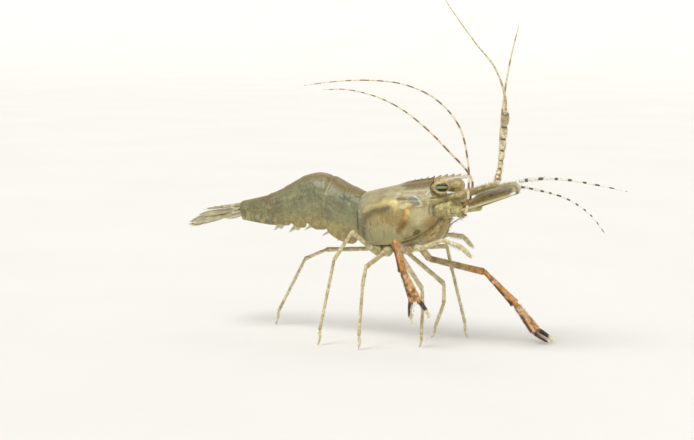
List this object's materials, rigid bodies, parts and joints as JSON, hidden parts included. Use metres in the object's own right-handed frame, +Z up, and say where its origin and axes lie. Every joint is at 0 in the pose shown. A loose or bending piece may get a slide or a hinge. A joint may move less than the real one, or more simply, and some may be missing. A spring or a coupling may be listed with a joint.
{
  "type": "long-armed freshwater prawn",
  "caption": "Life-size still model of a translucent freshwater prawn standing on its walking legs, with toothed rostrum, slim clawed arms, jointed abdomen, tail fan and long banded feelers.",
  "frame": {"origin": "middle of the object's box, at the level its feet stand on", "axes": "+X towards the head, +Y to the animal's left, +Z up"},
  "size_m": [0.0724, 0.0236, 0.057],
  "materials": {
    "shell": "wet, thin translucent carapace, beige with milky and rusty organs showing through",
    "abdomen": "wet translucent grey-beige flesh under thin shell plates",
    "underside": "wet, pale olive-beige",
    "limb": "wet translucent beige with faint brown bands",
    "claw": "wet translucent, orange with rusty mottling",
    "claw_tip": "wet, brown with cream tips",
    "blade": "thin clear blades of the scales, swimming legs and tail fan, with a hair fringe",
    "eye": "glossy, grey-green with a pale rim",
    "feeler": "thin, in white dashes between clear brown lengths"
  },
  "bodies": {
    "root": {"abdomen_1": "abdomen", "abdomen_2": "abdomen", "abdomen_3": "abdomen", "abdomen_4": "abdomen", "abdomen_5": "abdomen", "abdomen_6": "abdomen", "antenna_left_1": "feeler", "antenna_left_2": "feeler", "antenna_right_1": "feeler", "antenna_right_2": "feeler", "antenna_stem_left": "limb", "antenna_stem_right": "limb", "antennal_scale_left": "blade", "antennal_scale_right": "blade", "antennule_inner_left": "feeler", "antennule_inner_right": "feeler", "antennule_outer_left": "feeler", "antennule_outer_right": "feeler", "antennule_stem_left": "limb", "antennule_stem_right": "limb", "arm_left_finger": "claw_tip", "arm_left_hand": "claw", "arm_left_upper": "limb", "arm_left_wrist": "claw", "arm_right_finger": "claw_tip", "arm_right_hand": "claw", "arm_right_upper": "limb", "arm_right_wrist": "claw", "breast": "underside", "eye_left": "eye", "eye_right": "eye", "eyestalk_left": "shell", "eyestalk_right": "shell", "head_shield": "shell", "leg_1_left": "limb", "leg_1_right": "limb", "leg_3_left": "limb", "leg_3_right": "limb", "leg_4_left": "limb", "leg_4_right": "limb", "leg_5_left": "limb", "leg_5_right": "limb", "mouth_parts": "underside", "pleopod_1_left": "blade", "pleopod_1_right": "blade", "pleopod_2_left": "blade", "pleopod_2_right": "blade", "pleopod_3_left": "blade", "pleopod_3_right": "blade", "pleopod_4_left": "blade", "pleopod_4_right": "blade", "pleopod_5_left": "blade", "pleopod_5_right": "blade", "tail_fan_inner_left": "blade", "tail_fan_inner_right": "blade", "tail_fan_outer_left": "blade", "tail_fan_outer_right": "blade", "telson": "abdomen", "third_maxilliped_left": "limb", "third_maxilliped_right": "limb"}
  },
  "joints": []
}
